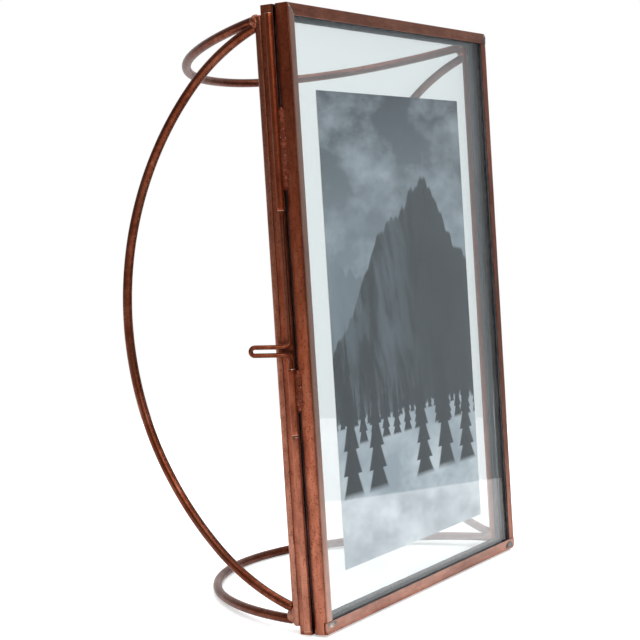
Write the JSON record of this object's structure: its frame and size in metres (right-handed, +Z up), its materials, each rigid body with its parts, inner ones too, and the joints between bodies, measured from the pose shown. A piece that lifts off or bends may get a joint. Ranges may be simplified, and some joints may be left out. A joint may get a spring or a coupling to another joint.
{
  "type": "picture frame",
  "caption": "Free-standing portrait picture frame: a print between two panes in copper channel, with a hinged glazed door, a wire bolt latch and a cage of bent wire behind as its stand.",
  "frame": {"origin": "middle of the overall box, at the level that the frame stands on", "axes": "+Z up, +Y away from the viewer of the picture towards the wire cage, +X to the right seen from the front, where the door is hinged"},
  "size_m": [0.1518, 0.0852, 0.1912],
  "materials": {
    "copper_sheet": "aged satin copper",
    "copper_tube": "aged satin copper",
    "copper_wire": "dark bronzed copper",
    "solder": "dull grey solder",
    "glass": "clear, faintly blue-green",
    "packing": "dark strip",
    "paper": "satin photographic paper"
  },
  "bodies": {
    "back_frame": {"back_top_rail": "copper_sheet", "back_bottom_rail": "copper_sheet", "back_left_stile": "copper_sheet", "back_right_stile": "copper_sheet", "back_glass": "glass", "back_packing": "packing", "photo_print": "paper", "latch_keeper_tube": "copper_tube", "hinge_upper_tube": "copper_tube", "hinge_lower_tube": "copper_tube", "hinge_pin": "copper_wire", "left_rod": "copper_wire", "right_rod": "copper_wire", "left_bow": "copper_wire", "right_bow": "copper_wire", "top_bow": "copper_wire", "bottom_bow": "copper_wire", "back_corner_solder": "solder", "keeper_solder": "solder", "hinge_frame_solder": "solder", "rod_solder": "solder", "bow_solder": "solder"},
    "door": {"front_top_rail": "copper_sheet", "front_bottom_rail": "copper_sheet", "front_left_stile": "copper_sheet", "front_right_stile": "copper_sheet", "front_glass": "glass", "front_packing": "packing", "front_corner_solder": "solder", "latch_upper_tube": "copper_tube", "latch_lower_tube": "copper_tube", "latch_tube_solder": "copper_tube", "hinge_middle_tube": "copper_tube", "hinge_door_solder": "solder"},
    "latch": {"latch_wire": "copper_wire"}
  },
  "joints": [
    {"name": "door_swing", "type": "hinge", "parent": "back_frame", "child": "door", "pos_m": [0.07473, -0.02969, 0.09552], "axis": [0, 0.0729, 0.9973], "range_deg": [0, 175]},
    {"name": "latch_slide", "type": "slide", "parent": "door", "child": "latch", "axis": [0, 0.0729, 0.9973], "range_m": [-0.002, 0.038]}
  ]
}
